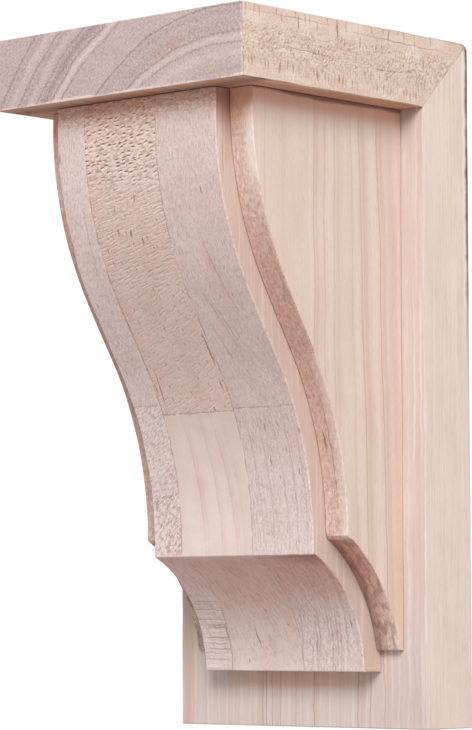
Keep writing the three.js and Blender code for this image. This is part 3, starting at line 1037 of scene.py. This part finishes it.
# Each stave is (name, colour of its wood, its own layers), the upper three from the left and then
# the lower three. The dashes are its rays, cut through, with paler wood under each.
STAVES = (
    ("Beech upper left stave, scroll-sawn and sanded", "stave_grey", (
        *HAIRS,
        (flecks, {"cell": (5, 2.2), "dash": (3.5, 0.7), "tilt": 84, "share": 0.35}, "figure_and_shade", 0.16),
        (marks, {"spots": ((-43.8, 90, 3, 0.9, 80, 0.9), (-43.6, 124, 3, 0.9, 90, 0.8),
         (-36, 60, 60, 1.4, 92, 0.2), (-46.6, 22, 6, 1.2, 90, 0.8), (-46.6, 60, 20, 1.0, 90, 0.6))}, "pore_and_shade",
         0.6))),
    ("Beech upper middle stave, scroll-sawn and sanded", "stave_brown", (
        (None, {}, "pink", 0.20, (34, 46, 66, 86)),
        # Painted warm shade under the shelf
        (None, {}, "painted_warm_shade", 0.25, (-2, -1, 4, 14)),
        (mottle, {"size": 0.7, "stretch": (1, 1.6), "low": 0.42, "high": 0.68}, "figure_and_shade", 0.15),
        (mottle, {"size": 1.2, "stretch": (2, 1), "tilt": -9, "low": 0.46, "high": 0.6}, "pale_wood_and_highlight", 0.35,
         (-20, -10, 40, 80)),
        (curls, {"size": 3.0, "stretch": (1.7, 1), "tilt": -9, "width": 0.07}, "figure_and_shade", 0.36,
         (-20, -10, 34, 48)),
        (curls, {"size": 2.4, "stretch": (1.2, 1), "tilt": -30, "width": 0.05}, "figure_and_shade", 0.16,
         (30, 44, 150, 160)),
        (flecks, {"cell": (3.5, 2.0), "dash": (3.3, 0.9), "tilt": -9, "share": 1.0, "shift": 0.8}, "pale_wood_and_highlight",
         0.6, (-20, 4, 34, 44)),
        (flecks, {"cell": (3.5, 2.0), "dash": (3.3, 0.75), "tilt": -9, "share": 0.95}, "figure_and_shade", 0.95,
         (-20, 4, 30, 42)),
        (flecks, {"cell": (6.5, 1.3), "dash": (8.0, 0.7), "tilt": -13, "share": 0.9, "shift": 0.6}, "pale_wood_and_highlight",
         0.45, (28, 44, 74, 94)),
        (flecks, {"cell": (6.5, 1.3), "dash": (8.0, 0.65), "tilt": -13, "share": 0.9}, "figure_and_shade", 0.36,
         (28, 44, 72, 94)),
        (flecks, {"cell": (7.0, 1.8), "dash": (7.0, 0.8), "tilt": -24, "share": 0.85, "shift": 0.7},
         "pale_wood_and_highlight", 0.30, (60, 84, 170, 190)),
        (flecks, {"cell": (7.0, 1.8), "dash": (7.0, 0.8), "tilt": -24, "share": 0.85}, "figure_and_shade", 0.18,
         (60, 84, 170, 190)),
        (flecks, {"cell": (5.5, 3.0), "dash": (2.2, 0.8), "tilt": 78, "share": 0.5}, "pore_and_shade", 0.42,
         (36, 56, 170, 190)),
        (marks, {"spots": ((-4, 43, 5, 0.8, 90, 0.9), (-17, 47, 4, 0.8, 95, 0.8),
         (-17, 57, 4, 1.4, 80, 0.9), (-10, 58.5, 4, 1.8, 100, 1.0), (-4, 62, 5, 0.9, 88, 1.0),
         (-26, 65, 4, 0.8, 90, 0.8), (-25, 71, 4, 0.9, 80, 0.7), (-3, 37, 4.5, 0.7, 0, 0.7),
         (-23, 93, 3, 0.8, 90, 0.6), (-10, 104, 4, 1.0, 84, 0.7), (-27, 133, 22, 1.0, 93, 1.0),
         (-29.5, 133, 7, 0.9, 90, 0.8), (1.2, 144, 3, 0.9, 90, 1.0), (9.7, 133, 7, 1.0, 88, 0.9),
         (10.6, 115, 22, 1.4, 91, 0.9), (-30.3, 100, 50, 0.8, 90, 0.6))}, "pore_and_shade", 0.62))),
    ("Beech upper right stave, scroll-sawn and sanded", "stave_grey", (
        *HAIRS,
        (None, {}, "pink", 0.12, (-2, 10, 200, 201)),
        (mottle, {"size": 9, "stretch": (1, 5), "tilt": -14, "detail": 2}, "pink", 0.14,
         (34, 60, 146, 150)),
        (flecks, {"cell": (6, 1.8), "dash": (5, 0.7), "tilt": 84, "share": 0.5}, "figure_and_shade", 0.20),
        (marks, {"spots": ((24, 100, 60, 1.2, 76, 0.5), (27, 104, 50, 1.1, 75, 0.5),
         (33, 80, 60, 1.2, 80, 0.4), (20, 112, 40, 1.1, 78, 0.4))}, "figure_and_shade", 0.40),
        (marks, {"spots": ((35.2, 43, 5, 1.0, 80, 1.0), (18, 62, 4, 0.9, 60, 0.7),
         (43.5, 39, 5, 0.8, 95, 0.6), (43.5, 12, 5, 0.8, 92, 0.6), (37, 90, 3, 0.8, 90, 0.8),
         (41, 112, 3, 0.9, 90, 0.8), (44, 100, 3, 0.8, 90, 0.6), (22, 119, 4, 0.7, 80, 0.6))}, "pore_and_shade",
         0.55))),
    ("Beech lower left stave, scroll-sawn and sanded", "stave", (
        (mottle, {"size": 0.8, "stretch": (3, 1), "tilt": -38, "low": 0.45, "high": 0.62}, "pale_wood_and_highlight", 0.42,
         (120, 142, 206, 215)),
        (mottle, {"size": 0.7, "stretch": (4, 1), "tilt": -38, "low": 0.48, "high": 0.64}, "figure_and_shade", 0.36,
         (120, 142, 180, 200)),
        (curls, {"size": 2.4, "stretch": (1.8, 1), "tilt": -45, "width": 0.08}, "figure_and_shade", 0.40,
         (166, 190, 207, 211)),
        (flecks, {"cell": (3.0, 2.0), "dash": (2.8, 0.8), "tilt": -52, "share": 0.6}, "figure_and_shade", 0.44,
         (172, 190, 207, 211)),
        (flecks, {"cell": (20, 1.8), "dash": (24, 0.9), "tilt": 2, "share": 1.0}, "figure_and_shade", 0.42,
         (234, 244, 272, 290)),
        (flecks, {"cell": (20, 2.3), "dash": (24, 1.2), "tilt": 2, "share": 0.9, "shift": 1}, "pale_wood_and_highlight", 0.6,
         (234, 244, 272, 290)),
        (marks, {"spots": ((-31.4, 257, 9, 1.0, 90, 1.0), (-36, 244, 3, 0.8, 0, 0.7))}, "pore_and_shade", 0.6))),
    ("Beech lower middle stave, scroll-sawn and sanded", "stave_pale", (
        (mottle, {"size": 0.6, "stretch": (1, 3), "low": 0.4, "high": 0.7}, "pink", 0.10),
        (None, {}, "pink", 0.12, (144, 145, 150, 196)),
        (None, {}, "pink", 0.28, (210, 216, 240, 290)),
        (marks, {"spots": ((-16.2, 178, 110, 3.6, 85.5, 0.4), (-6.2, 178, 110, 3.4, 85.5, 0.35),
         (1.6, 178, 110, 3.6, 84, 0.4))}, "pink", 0.28),
        (marks, {"spots": ((-17.9, 178, 110, 1.6, 86, 0.5), (-7.6, 178, 110, 1.4, 85.5, 0.45),
         (0.2, 178, 110, 1.6, 84, 0.55), (6, 180, 90, 1.6, 86, 0.2), (2, 240, 60, 1.4, 64, 0.4),
         (-14, 236, 50, 1.4, 66, 0.4))}, "figure_and_shade", 0.22),
        (marks, {"spots": ((-12.9, 259, 12, 1.1, 77, 1.0), (-20, 270, 3, 0.8, 90, 0.8),
         (7, 253, 3, 0.9, 60, 0.7), (-4, 246, 3, 0.8, 60, 0.5))}, "pore_and_shade", 0.6))),
    ("Beech lower right stave, scroll-sawn and sanded", "stave", (
        *HAIRS,
        (None, {}, "pink", 0.22, (144, 146, 150, 190)),
        (None, {}, "pink", 0.42, (210, 212, 222, 256)),
        # Painted shade: a dark patch in the top of the cove, darkest beside the right cheek
        (marks, {"spots": ((52, 209, 80, 26, 0, 0.6),)}, "pore_and_shade", 0.9, (209.8, 210.8, 290, 300)),
        (flecks, {"cell": (7, 1.9), "dash": (6, 0.8), "tilt": 86, "share": 0.6}, "figure_and_shade", 0.24,
         (120, 144, 212, 222)),
        (marks, {"spots": ((18, 178, 90, 1.5, 88, 0.4), (24.6, 178, 90, 1.4, 89, 0.4),
         (33, 178, 90, 1.5, 88, 0.35), (38.7, 178, 90, 1.4, 90, 0.4), (44.3, 178, 90, 1.5, 90, 0.4))},
         "figure_and_shade", 0.34),
        (flecks, {"cell": (26, 2.4), "dash": (30, 1.2), "tilt": 99, "share": 0.8}, "figure_and_shade", 0.28,
         (212, 222, 300, 320)),
        (flecks, {"cell": (22, 4.0), "dash": (26, 1.6), "tilt": 99, "share": 0.8, "shift": 3}, "pale_wood_and_highlight", 0.3,
         (226, 250, 300, 320)),
        (marks, {"spots": ((35.2, 152.5, 4, 1.0, 84, 0.9), (27.4, 153.4, 5, 1.0, 86, 1.0),
         (27.1, 169, 6, 1.2, 88, 1.0), (46.4, 156, 3, 1.0, 90, 0.7), (42.4, 174, 4, 1.0, 88, 0.9),
         (19, 160, 3, 0.8, 84, 0.6), (31, 176, 3, 0.8, 80, 0.6), (43.6, 252.5, 8, 1.0, 96, 0.9))}, "pore_and_shade",
         0.6))),
)


def stave_wood(number, colours, staves):
    """The wood of a stave, with thin lines where it is glued to the staves beside and below it."""
    name, base, own = STAVES[number]
    cut = (staves.left_cut, staves.middle_cut, staves.right_cut)[number % 3]
    joints = [(0, staves.left_seam / MM), (0, staves.right_seam / MM), (1, cut / MM)]
    layers = (*STAVE_GROUND, *own, (seams, {"at": joints}, "glue", 0.45), *STAVE_SHADE)
    return wood(name, "face", colours, base, layers, wander=(5, 0.35), fray=0.18, roughness=0.68,
                relief=0.015)


# Pieces

def placed(piece, node_name, materials):
    """Gives a finished piece its woods, and its place in the frame."""
    for material in materials:
        piece.data.materials.append(material)
    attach(piece, "root")
    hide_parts(node_name)


def worn(edges, glued):
    """The round of each point of a side outline: small where the piece is glued to another, and
    elsewhere a little more or less than the arris, as hand sanding leaves it."""
    return lambda depth, height: np.where(
        glued(depth, height), edges.joint_arris,
        edges.arris * (ARRIS_LEAST + ARRIS_MORE * waves(depth, height, ARRIS_WAVE, ARRIS_SEED)))


def on_mitre(depth, height):
    """Which points of the two boards' outlines are on the mitre, within a millimetre."""
    thick = SHELF_HIGH.z - SHELF_LOW.z
    return np.abs(depth * thick + BACK_LOW.y * (SHELF_HIGH.z - height)) < -BACK_LOW.y * MM


def under_shelf(depth, height):
    """Which points of a scroll-sawn piece's outline touch the shelf or the back board."""
    return (depth < -BLOCK_HIGH.y + MM) | (height > BLOCK_HIGH.z - MM)


def stave_column(x, staves):
    """Which stave from the left a place across the block is on, and how far down its butt joint is."""
    column = (x > staves.left_seam).astype(int) + (x > staves.right_seam)
    return column, np.array([staves.left_cut, staves.middle_cut, staves.right_cut])[column]


def stave_of(part, x, far):
    """The material slot of the block's faces: the stave on the front, or the plain wood elsewhere."""
    if part != "front":
        return len(STAVES)
    column, cut = stave_column(x, bpy.context.scene.corbel_staves)
    return column + 3 * (far > cut)


class CORBEL_OT_shelf_board(bpy.types.Operator):
    """Makes the shelf board, mitred at the wall"""

    bl_idname = "corbel.shelf_board"
    bl_label = "Shelf board"

    def execute(self, context):
        scene, colours = context.scene, context.scene.corbel_woods
        runs = shelf_runs(scene.corbel_sizes, scene.corbel_edges)
        slots = {"front": 0, "left": 1, "right": 1, "bottom": 3}
        piece = sanded_board("shelf_board", SHELF_LOW, SHELF_HIGH, runs, SHELF_GRID, on_mitre,
                             lambda part, x, far: slots.get(part, 2))
        placed(piece, "shelf_board",
               [wood("Beech end grain, cross-cut and sanded", ("X", "Z"), colours, "end_grain", SHELF_END,
                     wander=(14, 0.8), fray=0.3, roughness=0.74),
                wood("Beech long grain with rays, planed and sanded", ("Y", "Z"), colours, "shelf",
                     SHELF_SIDE),
                wood("Beech shelf top, planed and sanded", ("X", "Y"), colours, "shelf", PLAIN),
                wood("Beech shelf underside, planed and sanded", ("X", "Y"), colours, "under", SHELF_UNDER)])
        return {"FINISHED"}


class CORBEL_OT_back_board(bpy.types.Operator):
    """Makes the back board, mitred under the shelf board"""

    bl_idname = "corbel.back_board"
    bl_label = "Back board"

    def execute(self, context):
        scene, colours = context.scene, context.scene.corbel_woods
        runs = back_runs(scene.corbel_sizes, scene.corbel_edges)
        slots = {"front": 0, "left": 1, "right": 1}
        piece = sanded_board("back_board", BACK_LOW, BACK_HIGH, runs, BACK_GRID, on_mitre,
                             lambda part, x, far: slots.get(part, 2))
        placed(piece, "back_board",
               [wood("Beech back board, flat-sawn and sanded", ("X", "Z"), colours, "back_face", BACK_FACE,
                     wander=(14, 0.7)),
                wood("Beech back board side, planed and sanded", ("Y", "Z"), colours, "back", BACK_SIDE),
                wood("Beech back board back, planed", ("X", "Z"), colours, "back", BACK_BACK)])
        return {"FINISHED"}


class CORBEL_OT_centre_block(bpy.types.Operator):
    """Makes the scroll-sawn block with its S-shaped front, step and cove"""

    bl_idname = "corbel.centre_block"
    bl_label = "Centre block"

    def execute(self, context):
        scene, colours, staves = context.scene, context.scene.corbel_woods, context.scene.corbel_staves
        runs, step = scroll_runs(block_corners(scene.corbel_sizes), scene.corbel_edges)

        def groove(x, far):
            column, cut = stave_column(x, staves)
            off = np.minimum(np.abs(x - staves.left_seam), np.abs(x - staves.right_seam))
            return staves.seam_depth * hill(np.minimum(off, np.abs(far - cut)), staves.seam_width)

        piece = sanded_board("centre_block", BLOCK_LOW, BLOCK_HIGH, runs, BLOCK_GRID, under_shelf, stave_of,
                             [staves.left_cut, staves.right_cut, staves.middle_cut, step],
                             [staves.left_seam, staves.right_seam], groove)
        placed(piece, "centre_block",
               [*(stave_wood(number, colours, staves) for number in range(len(STAVES))),
                wood("Beech block side, planed and sanded", ("Y", "Z"), colours, "block_side",
                     BLOCK_SIDE)])
        return {"FINISHED"}


class CORBEL_OT_cheeks(bpy.types.Operator):
    """Makes the two scroll-sawn cheeks, one on each side of the block"""

    bl_idname = "corbel.cheeks"
    bl_label = "Cheeks"

    def execute(self, context):
        scene = context.scene
        sizes, edges, colours = scene.corbel_sizes, scene.corbel_edges, scene.corbel_woods
        woods = [wood("Beech cheek edge, scroll-sawn and sanded", "face", colours, "cheek_edge", CHEEK_EDGE,
                      wander=(3, 0.4), roughness=0.7),
                 wood("Beech cheek, flat-sawn and sanded", ("Y", "Z"), colours, "cheek", CHEEK_SIDE,
                      wander=(40, 0.9))]
        for name, low, high, set_back in (("left_cheek", LEFT_LOW, LEFT_HIGH, sizes.left_set_back),
                                          ("right_cheek", RIGHT_LOW, RIGHT_HIGH, 0.0)):
            runs, step = scroll_runs(cheek_corners(sizes, set_back), edges)

            def chip(x, far):
                return (edges.chip_depth * hill(x - RIGHT_LOW.x, edges.chip_width)
                        * hill(far - step, edges.chip_reach))

            piece = sanded_board(name, low, high, runs, CHEEK_GRID, under_shelf,
                                 lambda part, x, far: 0 if part == "front" else 1, [step], chip=chip)
            placed(piece, name, woods)
        return {"FINISHED"}


class CORBEL_OT_studio(bpy.types.Operator):
    """Makes the floor, the lights and the camera"""

    bl_idname = "corbel.studio"
    bl_label = "Studio"

    def execute(self, context):
        studio = context.scene.corbel_studio
        half, level = studio.floor_size / 2, BACK_LOW.z - studio.floor_drop
        mesh = bpy.data.meshes.new("floor")
        mesh.from_pydata([(x * half, y * half, level) for x, y in ((-1, -1), (1, -1), (1, 1), (-1, 1))],
                         [], [(0, 1, 2, 3)])
        floor = added("floor", mesh)
        paint = bpy.data.materials.new("Matt floor paint")
        tree = empty_tree(paint)
        shader = node(tree, "ShaderNodeBsdfPrincipled", {"Base Color": studio.floor_colour,
                      "Roughness": FLOOR_ROUGHNESS})
        node(tree, "ShaderNodeOutputMaterial", {"Surface": shader})
        mesh.materials.append(paint)

        world = bpy.data.worlds.new("Pale room")
        tree = empty_tree(world)
        way = node(tree, "ShaderNodeTexCoord").outputs["Generated"]
        upward = node(tree, "ShaderNodeSeparateXYZ", {0: way}).outputs["Z"]
        graded = node(tree, "ShaderNodeMapRange", {"Value": upward, "From Min": LOW_VIEW,
                      "From Max": HIGH_VIEW, "To Min": studio.sky_below, "To Max": studio.sky}, **SMOOTH)
        room = node(tree, "ShaderNodeBackground", {"Color": WHITE, "Strength": graded.outputs["Result"]})
        backdrop = node(tree, "ShaderNodeBackground", {"Color": WHITE, "Strength": 1.0})
        seen = node(tree, "ShaderNodeLightPath").outputs["Is Camera Ray"]
        mixed = node(tree, "ShaderNodeMixShader", {0: seen, 1: room.outputs[0], 2: backdrop.outputs[0]})
        node(tree, "ShaderNodeOutputWorld", {"Surface": mixed.outputs[0]})
        context.scene.world = world

        key = bpy.data.lights.new("key", "AREA")
        key.energy, key.size = studio.key_power, studio.key_size
        lamp = added("key", key)
        place = Vector(studio.key_place)
        lamp.matrix_world = Matrix.Translation(place) @ (-place).to_track_quat("-Z", "Y").to_matrix().to_4x4()

        camera = bpy.data.cameras.new("camera")
        camera.lens, camera.sensor_width = studio.lens, SENSOR_WIDTH
        seat = added("camera", camera)
        seat.matrix_world = (Matrix.Translation(studio.camera_place)
                             @ Matrix.Rotation(studio.camera_turn, 4, "Z")
                             @ Matrix.Rotation(math.pi / 2 + studio.camera_tilt, 4, "X")
                             @ Matrix.Rotation(studio.camera_roll, 4, "Z"))
        context.scene.camera = seat
        context.scene.view_settings.view_transform = "Standard"
        return {"FINISHED"}


class CORBEL_PT_panel(bpy.types.Panel):
    """Lists the pieces of the bracket in the sidebar"""

    bl_label = "Corbel bracket"
    bl_idname = "CORBEL_PT_panel"
    bl_space_type = "VIEW_3D"
    bl_region_type = "UI"
    bl_category = "Corbel"

    def draw(self, context):
        for operator in OPERATORS:
            self.layout.operator(operator.bl_idname)
        for group in GROUPS:
            values = getattr(context.scene, group)
            for name in values.bl_rna.properties.keys():
                if name not in ("rna_type", "name"):
                    self.layout.prop(values, name)


OPERATORS = (CORBEL_OT_shelf_board, CORBEL_OT_back_board, CORBEL_OT_centre_block, CORBEL_OT_cheeks,
             CORBEL_OT_studio)
GROUPS = {
    "corbel_sizes": BracketSizes,
    "corbel_edges": EdgeSizes,
    "corbel_staves": StaveSizes,
    "corbel_woods": WoodColours,
    "corbel_studio": StudioSizes,
}


def register():
    """Registers the classes and hangs the property groups on the scene."""
    for kind in (*GROUPS.values(), *OPERATORS, CORBEL_PT_panel):
        bpy.utils.register_class(kind)
    for name, group in GROUPS.items():
        setattr(bpy.types.Scene, name, PointerProperty(type=group))


def unregister():
    """Takes the property groups off the scene and the classes out again."""
    for name in GROUPS:
        delattr(bpy.types.Scene, name)
    for kind in reversed((*GROUPS.values(), *OPERATORS, CORBEL_PT_panel)):
        bpy.utils.unregister_class(kind)


def main():
    register()
    bpy.ops.corbel.shelf_board()
    bpy.ops.corbel.back_board()
    bpy.ops.corbel.centre_block()
    bpy.ops.corbel.cheeks()
    bpy.ops.corbel.studio()


if __name__ == "__main__":
    main()
